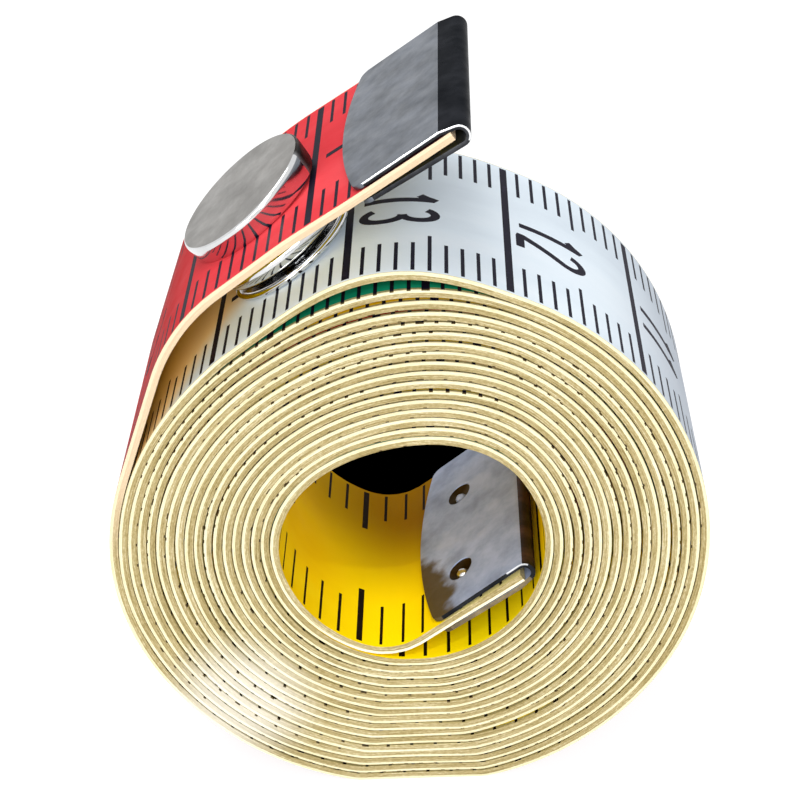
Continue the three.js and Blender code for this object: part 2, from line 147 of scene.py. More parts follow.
def flap_route():
    """The outer end's route up to its hinge and over it, the cap's seat and the end."""
    start = heading(FLAP_AT) * roll_radius(TURNS, FLAP_AT)
    before = heading(FLAP_AT + 1) * roll_radius(TURNS - 1 / 360, FLAP_AT + 1)
    along = start - before
    angle = math.degrees(math.atan2(along[1], along[0]))
    rise, angle = bend(start, angle, RISE_RADIUS, RISE_ANGLE - angle)
    rise += straight(rise[-1], angle, RISE_LENGTH)
    over, angle = bend(rise[-1], angle, BEND_RADIUS, SNAP_ANGLE - RISE_ANGLE)
    cap_seat = over[-1] + heading(SNAP_ANGLE) * SNAP_FROM_BEND
    over += straight(over[-1], angle, SNAP_STRETCH)
    ease, angle = bend(over[-1], angle, EASE_RADIUS, END_ANGLE - SNAP_ANGLE)
    ease += straight(ease[-1], angle, END_STRETCH)
    return rise, lifted_end(over + ease), cap_seat, ease[-1]


RISE, OVER, CAP_SEAT, FLAP_END = flap_route()
SNAP_AXIS = heading(SNAP_ANGLE + 90)
STUD_SEAT = CAP_SEAT - SNAP_AXIS * (CLOTH + SNAP_HEIGHT)


def seated_radius(turn, angle):
    """Radius with the outermost turn stood up to the stud's seat."""
    radius = roll_radius(turn, angle)
    raised = radius + SEAT_RAISE * swelling(turn_from(SEAT_RAISED_AT, angle), SEAT_SPREAD)
    from_axis = turn_from(SNAP_ANGLE + 90, angle)
    flat = STUD_SEAT @ SNAP_AXIS / np.cos(np.radians(np.clip(from_axis, -NEAR, NEAR)))
    near = (TURNS - turn <= 1) & (np.abs(from_axis) <= NEAR)
    return np.where(near, np.minimum(raised, flat), radius)


# The whole route, from the inner end to the outer one, with the outward side and the length
# along the cloth's middle at each point.
swept = np.append(np.arange(0, TURNS * 360, SWEEP_STEP), TURNS * 360)
angles = TAIL_AT - swept
radii = seated_radius(swept / 360, angles)
ROLL = np.stack([radii * np.cos(np.radians(angles)), radii * np.sin(np.radians(angles))], axis=1)
tail_bend, _ = bend(ROLL[0], TAIL_AT - 270, TAIL_RADIUS, TAIL_ANGLE - (TAIL_AT - 270))
TAIL_HINGE = tail_bend[-1]
tail_points = tail_bend + straight(TAIL_HINGE, TAIL_ANGLE, TAIL_STRETCH)
TAIL_END = tail_points[-1]
ROUTE = np.array(tail_points[::-1] + list(ROLL) + RISE + OVER)
SIDE = left_sides(ROUTE)
MIDDLE = ROUTE - SIDE * CLOTH / 2
STEPS = np.linalg.norm(np.diff(MIDDLE, axis=0), axis=1)
LENGTHS = np.concatenate([[0], np.cumsum(STEPS)])
LENGTH = LENGTHS[-1]
AT_TAIL = LENGTHS[len(tail_points)]
AT_FLAP = LENGTHS[len(tail_points) + len(ROLL) - 1]


def route_at(length):
    """Place on the outer face, and the outward side, at lengths along the tape."""
    place = np.stack([np.interp(length, LENGTHS, ROUTE[:, i]) for i in (0, 1)], axis=-1)
    side = np.stack([np.interp(length, LENGTHS, SIDE[:, i]) for i in (0, 1)], axis=-1)
    return place, side / np.linalg.norm(side, axis=-1, keepdims=True)


def length_at(turn_start, angle):
    """Length along the tape where it passes an angle, in the turn that starts at turn_start."""
    passed = turn_start + (TAIL_AT - angle) / 360
    return np.interp(passed * 360, swept, LENGTHS[len(tail_points):len(tail_points) + len(swept)])


def in_frame(point, across=0.0):
    return Vector((point[0] * MM, across * MM, (point[1] + AXIS_HEIGHT) * MM))


# The printed scales. Centimetres count from the outer end, inches from the inner one. Each is
# set by a line seen in the picture: 12 cm on the outer turn, and half an inch in the hole.
INCH = 25.4
LINE_12_CM_AT, LINE_HALF_INCH_AT = 68.4, 243.5
CM_SHIFT = 120 - (LENGTH - length_at(WHOLE_TURNS - 1, LINE_12_CM_AT))
INCH_SHIFT = 12.7 - length_at(0, LINE_HALF_INCH_AT)
MM_LINE, CM_LINE, FINE_LINE, HALF_LINE, INCH_LINE = 0.24, 0.5, 0.22, 0.42, 0.48
MARGIN = 0.3
# Where marks end, as distances from the tape's edge. The inch side's differ from edge to edge.
MM_REACH, FIVE_REACH = 4.15, 5.2
NEAR_SIXTEENTH, NEAR_EIGHTH, NEAR_HALF = 4.65, 4.75, 6.25
FAR_SIXTEENTH, FAR_EIGHTH, FAR_HALF = 3.65, 3.75, 5.15

# The tape's section: place across the tape, depth below the outer face, and what the face from
# here to the next corner is.
half = WIDTH / 2
SECTION = [
    (-half + 0.03, 0, "coat dot"), (-half + 0.1, 0, "cm margin"), (-half + MARGIN, 0, "cm 1"),
    (-half + MM_REACH, 0, "cm 5"), (-half + FIVE_REACH, 0, "cm 10"), (half - FIVE_REACH, 0, "cm 5"),
    (half - MM_REACH, 0, "cm 1"), (half - MARGIN, 0, "cm margin"), (half - 0.1, 0, "coat dot"),
    (half - 0.03, 0, "coat dot"),
    (half, 0.03, "coat dot"), (half, 0.06, "coat"), (half, 0.2, "body"), (half, 0.47, "body dot"),
    (half, 0.52, "body dot"), (half - 0.03, CLOTH, "in margin"), (half - MARGIN, CLOTH, "in 1"),
    (half - FAR_SIXTEENTH, CLOTH, "in 2"), (half - FAR_EIGHTH, CLOTH, "in 8"),
    (half - FAR_HALF, CLOTH, "in 16"), (-half + NEAR_HALF, CLOTH, "in 8"),
    (-half + NEAR_EIGHTH, CLOTH, "in 2"), (-half + NEAR_SIXTEENTH, CLOTH, "in 1"),
    (-half + MARGIN, CLOTH, "in margin"), (-half + 0.03, CLOTH, "body dot"),
    (-half, 0.52, "body dot"), (-half, 0.47, "body"), (-half, 0.2, "coat"),
    (-half, 0.06, "coat dot"), (-half, 0.03, "coat dot"),
]
DECIMETRES = ["red", "white", "green", "yellow"]
SLOTS = DECIMETRES + ["inch", "ink", "inch ink", "edge ink", "coat", "body", "worn"]
# Marks of the two scales closer together than this share a corner; none is this near an end.
LEAST_GAP, END_GAP, MARK_SLACK = 0.045, 0.05, 0.01
# Where the margins are darkened, in the worn slot, as painted shade in the gaps between turns, and
# where ink shows on the cut edges, as lengths from the two ends of the wound part and as the least
# value of the noise that spreads it.
BURIED_FROM_TAIL, BURIED_TO_FLAP, INCH_SHADED_FROM_TAIL = 50, 118, 60
DOTS_ABOVE, INCH_DOTS_ABOVE, INCH_DOTS_FROM_TAIL, INCH_DOTS_TO_FLAP = 0.34, 0.42, 20, 60
WOBBLE_SEED, PRESSED_SEED, DOTS_SEED, INCH_DOTS_SEED = 3, 12, 8, 21
WAVELENGTHS, WAVE_SCALE = (61.0, 37.0, 21.0, 11.0), 17
SLOW_WOBBLE, FAST_WOBBLE = 0.1, 0.03
SWOLLEN, PRESSED, PRESSED_EASE = 0.04, 0.12, 8
CLOTH_SHARP, METAL_SHARP = math.radians(35), math.radians(40)


def stations(start, end):
    """Lengths at which the strip has corners: the edges of every mark, and points between."""
    marks = []
    for k in range(1, int(LENGTH)):
        width = CM_LINE if k % 10 == 0 else MM_LINE
        marks += [LENGTH + CM_SHIFT - k - width / 2, LENGTH + CM_SHIFT - k + width / 2]
    for k in range(100, int(LENGTH), 100):
        marks.append(LENGTH + CM_SHIFT - k)
    fine = []
    for k in range(1, int(LENGTH / INCH * 16)):
        width = INCH_LINE if k % 16 == 0 else HALF_LINE if k % 8 == 0 else FINE_LINE
        fine += [k * INCH / 16 - INCH_SHIFT - width / 2, k * INCH / 16 - INCH_SHIFT + width / 2]
    marks = np.sort(np.array(marks))
    near = np.searchsorted(marks, fine).clip(1, len(marks) - 1)
    fine = np.array(fine)
    gap = np.minimum(np.abs(marks[near] - fine), np.abs(marks[near - 1] - fine))
    every = np.sort(np.concatenate([marks, fine[gap > LEAST_GAP]]))
    every = every[(every > start + END_GAP) & (every < end - END_GAP)]
    return np.concatenate([[start], every, [end]])


def smooth_noise(x, seed):
    """Slow waves of a few lengths, the same in every run."""
    total = np.zeros_like(x)
    rng = np.random.default_rng(seed)
    for wavelength in WAVELENGTHS:
        total += np.sin(2 * math.pi * (x / wavelength + rng.random())) * wavelength ** 0.5
    return total / WAVE_SCALE


def wobble(length):
    """How far the cloth lies out of line across its width, as one turn over the next."""
    ripple = np.sin(length / 1.9) * np.sin(length / 13)
    return SLOW_WOBBLE * smooth_noise(length, WOBBLE_SEED) + FAST_WOBBLE * ripple


def thickness(length):
    """Share of the full thickness; the cloth is pressed thinner in places."""
    inside = np.clip((length - AT_TAIL) / PRESSED_EASE, 0, 1)
    inside = inside * np.clip((AT_FLAP - length) / PRESSED_EASE, 0, 1)
    pressed = np.clip(0.4 + smooth_noise(length, PRESSED_SEED), 0, 1)
    return 1 + inside * (SWOLLEN - PRESSED * pressed)


def marked(value, step, width):
    """Number of the mark that covers a value, or 0 where none does."""
    number = np.round(value / step).astype(int)
    return np.where(np.abs(value - number * step) < width(number) / 2 + MARK_SLACK, number, 0)


def slot_of_face(kind, middle):
    """Material slots of one row of faces, at the lengths of their middles."""
    cm_mark = marked(LENGTH + CM_SHIFT - middle, 1.0, lambda k: np.where(
        k % 10 == 0, CM_LINE, MM_LINE))
    inch_mark = marked(middle + INCH_SHIFT, INCH / 16, lambda k: np.where(
        k % 16 == 0, INCH_LINE, np.where(k % 8 == 0, HALF_LINE, FINE_LINE)))
    buried = (middle > AT_TAIL + BURIED_FROM_TAIL) & (middle < AT_FLAP - BURIED_TO_FLAP)
    word, _, number = kind.partition(" ")
    if word == "cm":
        decimetres = ((LENGTH + CM_SHIFT - middle).clip(0) // 100).astype(int) % len(DECIMETRES)
        mark, ink_slot, plain = cm_mark, SLOTS.index("ink"), decimetres
        worn = buried
    elif word == "in":
        mark, ink_slot, plain = inch_mark, SLOTS.index("inch ink"), SLOTS.index("inch")
        worn = middle > AT_TAIL + INCH_SHADED_FROM_TAIL
    elif word == "coat":
        mark, ink_slot, plain = cm_mark, SLOTS.index("edge ink"), SLOTS.index("coat")
        inked = buried & (smooth_noise(middle, DOTS_SEED) > DOTS_ABOVE)
    else:
        mark, ink_slot, plain = inch_mark, SLOTS.index("edge ink"), SLOTS.index("body")
        inked = (middle > AT_TAIL + INCH_DOTS_FROM_TAIL) & (middle < AT_FLAP - INCH_DOTS_TO_FLAP)
        inked = inked & (smooth_noise(middle, INCH_DOTS_SEED) > INCH_DOTS_ABOVE)
    plain = np.broadcast_to(plain, middle.shape)
    # The margins of buried turns take the worn slot: painted shade in the gaps between turns, marks
    # kept.
    if number == "margin":
        return np.where(worn, np.where(mark > 0, ink_slot, SLOTS.index("worn")), plain)
    if number == "dot":
        return np.where((mark > 0) & inked, ink_slot, plain)
    return np.where((mark > 0) & (mark % int(number) == 0), ink_slot, plain) if number else plain


def new_object(name, data):
    """A new object in the scene, from the data of a mesh, a lamp or a camera."""
    made = bpy.data.objects.new(name, data)
    bpy.context.collection.objects.link(made)
    return made


def mesh_from(name, bm, slots):
    """A mesh with its materials, from a mesh in the making, which is freed."""
    bmesh.ops.recalc_face_normals(bm, faces=bm.faces)
    mesh = bpy.data.meshes.new(name)
    bm.to_mesh(mesh)
    bm.free()
    for slot in slots:
        mesh.materials.append(MATERIALS[slot])
    return mesh


def strip(name, start, end):
    """The tape between two lengths, one closed mesh with the scales printed on its faces."""
    at = stations(start, end)
    place, side = route_at(at)
    shift = wobble(at)
    count, corners = len(at), len(SECTION)
    across = np.array([s[0] for s in SECTION])
    depth = np.array([s[1] for s in SECTION])
    deep = depth[None, :] * thickness(at)[:, None]
    points = np.empty((count, corners, 3))
    points[:, :, 0] = place[:, 0, None] - side[:, 0, None] * deep
    points[:, :, 1] = across[None, :] + shift[:, None]
    points[:, :, 2] = place[:, 1, None] - side[:, 1, None] * deep + AXIS_HEIGHT
    middle = (at[1:] + at[:-1]) / 2
    base = np.arange(count - 1) * corners
    faces, slots = [], []
    for j, (_, _, kind) in enumerate(SECTION):
        k = (j + 1) % corners
        faces.append(np.stack([base + j, base + k, base + corners + k, base + corners + j], axis=1))
        slots.append(slot_of_face(kind, middle))
    faces = np.concatenate(faces)
    slots = np.concatenate(slots)
    mesh = bpy.data.meshes.new(name)
    first = list(range(corners))
    last = [(count - 1) * corners + i for i in range(corners)][::-1]
    mesh.from_pydata((points.reshape(-1, 3) * MM).tolist(), [], faces.tolist() + [first, last])
    for slot in SLOTS:
        mesh.materials.append(MATERIALS[slot])
    body = SLOTS.index("body")
    mesh.polygons.foreach_set("material_index", np.append(slots, [body, body]).astype(np.int32))
    # Printed coordinates: length along the tape and distance round its section, in millimetres.
    layer = mesh.uv_layers.new(name="Print")
    loops = np.empty(len(mesh.loops), np.int32)
    mesh.loops.foreach_get("vertex_index", loops)
    steps = np.hypot(np.diff(across, prepend=across[0]), np.diff(depth, prepend=0))
    round_section = np.cumsum(steps)
    u = at[loops // corners]
    v = round_section[loops % corners]
    layer.data.foreach_set("uv", np.stack([u, v], axis=1).astype(np.float32).ravel())
    mesh.polygons.foreach_set("use_smooth", np.ones(len(mesh.polygons), bool))
    mesh.update()
    mesh.set_sharp_from_angle(angle=CLOTH_SHARP)
    bm = bmesh.new()
    bm.from_mesh(mesh)
    if bm.calc_volume(signed=True) < 0:
        bmesh.ops.reverse_faces(bm, faces=bm.faces)
        bm.to_mesh(mesh)
    bm.free()
    return new_object(name, mesh)


# Materials.
def linear(hex_color):
    parts = [int(hex_color[i:i + 2], 16) / 255 for i in (0, 2, 4)]
    return [p / 12.92 if p <= 0.04045 else ((p + 0.055) / 1.055) ** 2.4 for p in parts] + [1.0]


class Nodes:
    """A node tree, with short ways to add to it."""

    def __init__(self, tree):
        self.nodes, self.links = tree.nodes, tree.links

    def feed(self, socket, value):
        """Links an output to a socket, or sets the socket's own value."""
        if hasattr(value, "is_output"):
            self.links.new(value, socket)
        else:
            socket.default_value = value

    def node(self, kind, inputs, **settings):
        """A new node, with values for its inputs by name or number, and its settings."""
        made = self.nodes.new("ShaderNode" + kind)
        for key, value in settings.items():
            setattr(made, key, value)
        for key, value in inputs.items():
            self.feed(made.inputs[key], value)
        return made

    def math(self, operation, *values):
        return self.node("Math", dict(enumerate(values)), operation=operation).outputs[0]

    def map_range(self, value, start, end, low, high, kind="SMOOTHSTEP"):
        inputs = {"Value": value, "From Min": start, "From Max": end, "To Min": low, "To Max": high}
        return self.node("MapRange", inputs, interpolation_type=kind).outputs[0]

    def place(self, printed):
        """Printed coordinates in millimetres, or the object's own in metres."""
        if printed:
            return self.node("UVMap", {}).outputs["UV"]
        return self.node("TexCoord", {}).outputs["Object"]

    def coordinates(self, printed, scale):
        return self.node("Mapping", {"Vector": self.place(printed), "Scale": scale}).outputs[0]

    def noise(self, vector, scale, detail=3.0, rough=0.55):
        inputs = {"Vector": vector, "Scale": scale, "Detail": detail, "Roughness": rough}
        return self.node("TexNoise", inputs).outputs["Fac"]

    def ramp(self, factor, stops):
        made = self.node("ValToRGB", {"Fac": factor})
        ramp = made.color_ramp
        while len(ramp.elements) < len(stops):
            ramp.elements.new(0.5)
        for element, (position, color) in zip(ramp.elements, stops):
            element.position = position
            element.color = linear(color) if isinstance(color, str) else (color, color, color, 1)
        return made.outputs["Color"]


class Shader(Nodes):
    """A Principled material whose colour and bump come from nodes."""

    def __init__(self, name, roughness=0.5, metallic=0.0, specular=0.5):
        self.material = bpy.data.materials.new(name)
        self.material.use_nodes = True
        super().__init__(self.material.node_tree)
        self.bsdf = self.nodes["Principled BSDF"]
        self.sockets = self.bsdf.inputs
        self.sockets["Roughness"].default_value = roughness
        self.sockets["Metallic"].default_value = metallic
        self.sockets["Specular IOR Level"].default_value = specular

    def color(self, output):
        self.links.new(output, self.sockets["Base Color"])

    def roughness(self, output):
        self.links.new(output, self.sockets["Roughness"])

    def bump(self, height, strength, distance):
        made = self.node("Bump", {"Height": height, "Strength": strength, "Distance": distance})
        self.links.new(made.outputs["Normal"], self.sockets["Normal"])


# Distance between the threads of the weave, in millimetres.
THREAD = 0.42


def printed_cloth(name, dark, plain, light, seed, specular=0.12):
    """Coated cloth: faint weave under a smooth skin, with slow variation of the colour."""
    s = Shader(name, roughness=0.55, specular=specular)
    slow = s.noise(s.coordinates(True, (0.05, 0.12, seed)), 1.0, 4.0)
    s.color(s.ramp(slow, [(0.3, dark), (0.5, plain), (0.7, light)]))
    split = s.node("SeparateXYZ", {0: s.coordinates(True, (1, 1, 1))})
    turns = [s.math("MULTIPLY", split.outputs[i], 2 * math.pi / THREAD) for i in (0, 1)]
    weave = s.math("MULTIPLY", *[s.math("SINE", turn) for turn in turns])
    grain = s.noise(s.coordinates(True, (3, 3, 1)), 1.0, 2.0)
    s.bump(s.math("ADD", s.math("MULTIPLY", weave, 0.35), grain), 0.12, 0.00004)
    worn = s.noise(s.coordinates(True, (0.4, 0.4, seed)), 1.0)
    s.roughness(s.ramp(worn, [(0.3, 0.6), (0.7, 0.75)]))
    return s.material


def tint(name, color, start, end, axis="length", spot=None, ragged=0.0, slant=0.0, most=1.0):
    """Tints a material between two lengths of the tape or along an axis, or near to a spot.

    The tint is nothing at start and fullest at end. With a spot, both are distances from it.
    A slant shifts the tint along the tape with the place across it, and ragged breaks its edge.
    """
    s = Nodes(MATERIALS[name].node_tree)
    base = s.nodes["Principled BSDF"].inputs["Base Color"]
    plain = base.links[0].from_socket
    printed = axis == "length" and spot is None
    place = s.place(printed)
    if spot is None:
        split = s.node("SeparateXYZ", {0: place})
        value = split.outputs[0 if printed else "xyz".index(axis)]
    else:
        value = s.node("VectorMath", {0: place, 1: spot}, operation="DISTANCE").outputs["Value"]
    if slant:
        value = s.math("MULTIPLY_ADD", split.outputs[1], slant, value)
    if ragged:
        value = s.math("MULTIPLY_ADD", s.noise(place, 700.0, 4.0, 0.5), ragged, value)
    share = s.map_range(value, start, end, 0.0, most)
    mixed = s.node("Mix", {0: share, 6: plain, 7: linear(color)}, data_type="RGBA")
    s.links.new(mixed.outputs[2], base)


def ink(name, color, light, specular=0.08):
    """Printing ink, rubbed paler in small spots."""
    s = Shader(name, roughness=0.55, specular=specular)
    wear = s.noise(s.coordinates(True, (2.0, 1.5, 1)), 1.0, 4.0, 0.7)
    s.color(s.ramp(wear, [(0.25, light), (0.45, color), (1.0, color)]))
    return s.material


def cut_edge(name, stops, bump):
    """The cut edge of the cloth: streaks along the tape, with loose fibre ends."""
    s = Shader(name, roughness=0.75, specular=0.2)
    streak = s.noise(s.coordinates(True, (0.35, 14.0, 2.0)), 1.0, 4.0, 0.65)
    fibre = s.noise(s.coordinates(True, (3.2, 9.0, 5.0)), 1.0, 3.0, 0.7)
    slow = s.noise(s.coordinates(True, (0.06, 0.3, 9.0)), 1.0, 2.0)
    both = s.math("ADD", s.math("MULTIPLY", streak, 0.5), s.math("MULTIPLY", fibre, 0.32))
    both = s.math("ADD", both, s.math("MULTIPLY", slow, 0.18))
    s.color(s.ramp(both, stops))
    s.bump(fibre, bump, 0.00006)
    return s.material


def metal(name, colors, rough, grain, metallic=1.0, edge=1.0):
    """Plated sheet: mottled tone, faint rolling lines and small scratches."""
    s = Shader(name, roughness=rough[0], metallic=metallic)
    s.sockets["Specular Tint"].default_value = (edge, edge, edge, 1)
    mottle = s.noise(s.coordinates(False, (1, 1, 1)), 420.0, 5.0, 0.6)
    s.color(s.ramp(mottle, list(zip((0.32, 0.5, 0.68), colors))))
    rubbed = s.noise(s.coordinates(False, (1, 1, 1)), 900.0)
    s.roughness(s.ramp(rubbed, [(0.3, rough[0]), (0.7, rough[1])]))
    fine = s.noise(s.coordinates(False, (1, 0.12, 1)), 5200.0, 2.0)
    slow = s.noise(s.coordinates(False, (1, 1, 1)), 700.0, 2.0)
    s.bump(s.math("ADD", s.math("MULTIPLY", fine, 0.35), slow), grain, 0.00005)
    return s.material


MATERIALS = {
    "red": printed_cloth("Red print", "CE2832", "DE3A42", "E84C52", 1),
    "white": printed_cloth("White print", "D8E3ED", "E4EFF8", "EEF6FD", 2),
    "green": printed_cloth("Green print", "00785C", "0A9070", "1BA582", 3),
    "yellow": printed_cloth("Yellow print", "EFC416", "F8D21F", "FFDD33", 4),
    "inch": printed_cloth("Inch side", "F0C400", "FCD400", "FFE214", 5, 0.03),
    "ink": ink("Ink", "100C1E", "241E36"),
    "inch ink": ink("Inch ink", "160E04", "2E200C", 0.02),
    "edge ink": ink("Edge ink", "4A3C24", "94824F"),
    "coat": cut_edge("Coat edge", [(0.32, "C8BC8E"), (0.46, "DFD5AC"), (0.62, "F2EBCC")], 0.3),
    "body": cut_edge("Cloth edge", [
        (0.36, "74643C"), (0.45, "9A8958"), (0.53, "B3A275"), (0.62, "D8CDA6")], 0.8),
    # The worn slot: painted shade on the margins in the gaps between turns.
    "worn": cut_edge("Margin, painted shade", [(0.36, "6A5C30"), (0.48, "9C8E5A"), (0.6, "C4B682")], 0.6),
}
# Slot, name, its dark, plain and pale colours, roughness, grain, and metallic and edge tint.
for slot, name, colors, *look in (
    ("plate", "Clip plate", ("565B62", "6C7179", "7E838C"), (0.34, 0.5), 0.4),
    # The cups' dark colour is painted shade in the clip's holes.
    ("cup", "Pressed cup", ("1E1810", "3C3222", "5A4C36"), (0.35, 0.5), 0.3, 1.0, 0.5),
    # Painted shade on the clips' cut sides and the outer clip's lower jaw.
    ("shade", "Clip inside edge", ("1A1B1D", "2A2B2E", "3C3D40"), (0.4, 0.55), 0.3, 1.0, 0.5),
    ("worn plate", "Worn clip plate", ("7C88A2", "929FBC", "A8B4D0"), (0.5, 0.65), 0.5, 0.06, 0.6),
    # The inner clip's lower jaw side: worn, and darkened as painted shade.
    ("worn edge", "Worn clip edge", ("4A402C", "6E6048", "948464"), (0.5, 0.65), 0.5, 0.2, 0.6),
    # Bright steel, used as a painted highlight on the clips' cut sides and for one cup's point.
    ("sheared", "Sheared edge", ("B9BBBE", "D6D8DA", "E8E9EA"), (0.25, 0.4), 0.2),
    # The folds are dark as a painted dark reflection.
    ("nose", "Clip fold", ("292B2F", "323438", "3E4045"), (0.26, 0.4), 0.3, 1.0, 0.42),
    # The inner clip's fold: worn, and dark as a painted dark reflection.
    ("worn nose", "Worn clip fold", ("120C0B", "221613", "4E342C"), (0.4, 0.55), 0.4, 0.3, 0.4),
    ("cap", "Cap top", ("84827F", "93918E", "A7A5A2"), (0.36, 0.52), 0.5),
    # Painted shade on the cap's wall towards the clip.
    ("cap shade", "Cap shade", ("1C1816", "2E2825", "5A524C"), (0.2, 0.3), 0.2, 0.6, 0.25),
    ("chrome", "Snap chrome", ("D0D1D2", "DADBDC", "E4E5E6"), (0.06, 0.12), 0.04),
    ("wire", "Spring wire", ("8E9092", "A6A8AA", "B8BABC"), (0.15, 0.25), 0.1),
):
    MATERIALS[slot] = metal(name, colors, *look)

# Colour set by place on the object: painted shade and reflected colour under the flap; painted
# shade on the far right of the white turn, on the lower part of the flap, under the outer clip, at
# the back of the hole and on the cap's wall; painted light low in the hole; a painted glare on the
# cut edges at the lower left of the front; pinkish cut edges at the flap's hinge, a paler coat
# towards the tape's inner end, a paler inch face at that end, and a bare corner of the worn plate.
# The corner is given back from the tape's end, up from it and across.
BARE_BACK, BARE_UP, BARE_ACROSS = 13.0, 0.6, -7.4
# Painted shade and reflected warm colour on the white turn under the flap.
tint("white", "FFE2AC", AT_FLAP - 108, AT_FLAP - 113, slant=-0.95)
# Painted shade on the far right of the white turn.
tint("white", "BCC2CE", AT_FLAP - 80, AT_FLAP - 70, most=0.6)
# Painted shade on the lower part of the flap.
tint("red", "B0060E", AT_FLAP + 18, AT_FLAP + 10)
# Painted shadow on the red face under the outer clip.
tint("red", "3A0C10", LENGTH - 6.4, LENGTH - 5.8)
for edge in ("coat", "body"):
    tint(edge, "E6CAAC", AT_FLAP - 6, AT_FLAP + 4, most=0.7)
tint("coat", "FFF8E4", AT_TAIL + 4, AT_TAIL - 3, most=0.4)
# A painted glare on the cut edges at the lower left of the front.
for edge in ("coat", "body", "worn"):
    tint(edge, "FFFDF4", 0.0062, 0.0014, spot=(-0.0118, -0.0095, 0.0072), most=0.45)
# Painted light: the inch face is brighter low down, as in the hole.
tint("inch", "FFE200", 0.0145, 0.0105, "z", most=0.8)
tint("inch", "DCCB84", 6.4, 5.8)
# Painted shade on the inch face at the back of the hole.
tint("inch", "8C6400", 0.0155, 0.004, spot=(0.0016, 0.0092, 0.011))
# The cap's painted shade fades to grey at both its ends.
tint("cap shade", "C2C3C5", 0.0012, 0.0034, "y")
tint("cap shade", "A8A9AB", -0.002, -0.003, "y")
bare = TAIL_END - heading(TAIL_ANGLE) * BARE_BACK + heading(TAIL_ANGLE + 90) * BARE_UP
bare = tuple(in_frame(bare, BARE_ACROSS))
tint("worn plate", "4A3C20", 0.0098, 0.0087, spot=bare, ragged=0.0026)

# The tape: the wound part, and the two ends that bend between bodies.
wound = strip("wound_tape", AT_TAIL, AT_FLAP)
outer_end = strip("tape_outer_end", AT_FLAP, LENGTH)
inner_end = strip("tape_inner_end", 0.0, AT_TAIL)


# Numbers, drawn as strokes in a cell one high, and laid on the tape as thin printed shapes.
def arc(cx, cy, rx, ry, start, end, steps=16):
    turned = np.radians(np.linspace(start, end, steps))
    return [(cx + rx * math.cos(t), cy + ry * math.sin(t)) for t in turned]


GLYPHS = {
    "0": [arc(0.2, 0.5, 0.19, 0.5, 90, 450, 32)],
    "1": [[(0.06, 0.78), (0.15, 0.88), (0.21, 1.0), (0.21, 0.0)]],
    "2": [arc(0.2, 0.78, 0.19, 0.22, 170, -30, 18) + [(0.02, 0.0), (0.4, 0.0)]],
    "3": [arc(0.19, 0.77, 0.18, 0.23, 150, -90, 18), arc(0.19, 0.27, 0.2, 0.27, 90, -150, 20)],
    "4": [[(0.3, 0.0), (0.3, 1.0), (0.0, 0.3), (0.42, 0.3)]],
    "5": [[(0.37, 1.0), (0.06, 1.0), (0.03, 0.58)] + arc(0.18, 0.31, 0.2, 0.31, 110, -150, 20)],
    "6": [arc(0.2, 0.3, 0.19, 0.3, 90, 450, 26), [(0.015, 0.36), (0.06, 0.68), (0.3, 1.0)]],
    "7": [[(0.0, 1.0), (0.4, 1.0), (0.12, 0.0)]],
    "8": [arc(0.2, 0.76, 0.165, 0.24, -90, 270, 24), arc(0.2, 0.26, 0.2, 0.26, 90, 450, 26)],
    "9": [arc(0.2, 0.7, 0.19, 0.3, 90, 450, 26), [(0.385, 0.64), (0.34, 0.32), (0.1, 0.0)]],
}
GLYPH_HEIGHT, GLYPH_STROKE, GLYPH_ADVANCE, GLYPH_HALF_CELL, GLYPH_STEP = 4.45, 0.58, 2.35, 0.2, 0.25
GLYPH_FROM_LINE, GLYPH_MIDDLE, GLYPH_ROOM = 0.9, -0.15, 6.5
# A number's shell stands this far above the tape's face and reaches this far below it.
PRINT_RISE, PRINT_SINK = 0.012, -0.02


def resample(points, step):
    """Points along a line at about a step apart, with its own corners kept."""
    points = np.array(points, float)
    lengths = np.concatenate([[0], np.cumsum(np.linalg.norm(np.diff(points, axis=0), axis=1))])
    count = max(2, int(lengths[-1] / step) + 1)
    wanted = np.union1d(np.linspace(0, lengths[-1], count), lengths)
    return np.stack([np.interp(wanted, lengths, points[:, i]) for i in (0, 1)], axis=1)


def stroke_outline(points, width):
    """Left and right sides of a stroke of some width along points."""
    points = resample(points, GLYPH_STEP)
    apart = np.linalg.norm(np.diff(points, axis=0), axis=1) > 1e-4
    points = points[np.concatenate([[True], apart])]
    left = left_sides(points)
    return points + left * width / 2, points - left * width / 2


def on_face(length, across, rise, outer):
    """A place that rises above the tape's outer or inner face, at a length and across it."""
    place, side = route_at(np.array([length]))
    deep = -rise if outer else CLOTH * float(thickness(length)) + rise
    across += float(wobble(np.array([length]))[0])
    return in_frame(place[0] - side[0] * deep, across)


def numbers(name, numbers_at, outer):
    """Printed numbers as thin shells on one face of the tape."""
    bm = bmesh.new()
    for text, line in numbers_at:
        start = GLYPH_MIDDLE + GLYPH_ADVANCE * (len(text) - 1) / 2 + GLYPH_HALF_CELL * GLYPH_HEIGHT
        for i, stroke in [(i, stroke) for i, digit in enumerate(text) for stroke in GLYPHS[digit]]:
            cell = [(x * GLYPH_HEIGHT, y * GLYPH_HEIGHT) for x, y in stroke]
            rows = []
            for pair in zip(*stroke_outline(cell, GLYPH_STROKE)):
                row = []
                for rise in (PRINT_RISE, PRINT_SINK):
                    for x, y in pair:
                        length = line + (y + GLYPH_FROM_LINE) * (1 if outer else -1)
                        across = start - i * GLYPH_ADVANCE - x
                        row.append(bm.verts.new(on_face(length, across, rise, outer)))
                rows.append(row)
            for a, b in zip(rows, rows[1:]):
                for j, k in ((0, 1), (1, 3), (3, 2), (2, 0)):
                    bm.faces.new((a[j], b[j], b[k], a[k]))
            for row in (rows[0], rows[-1]):
                bm.faces.new((row[0], row[1], row[3], row[2]))
    return new_object(name, mesh_from(name, bm, ["ink" if outer else "inch ink"]))


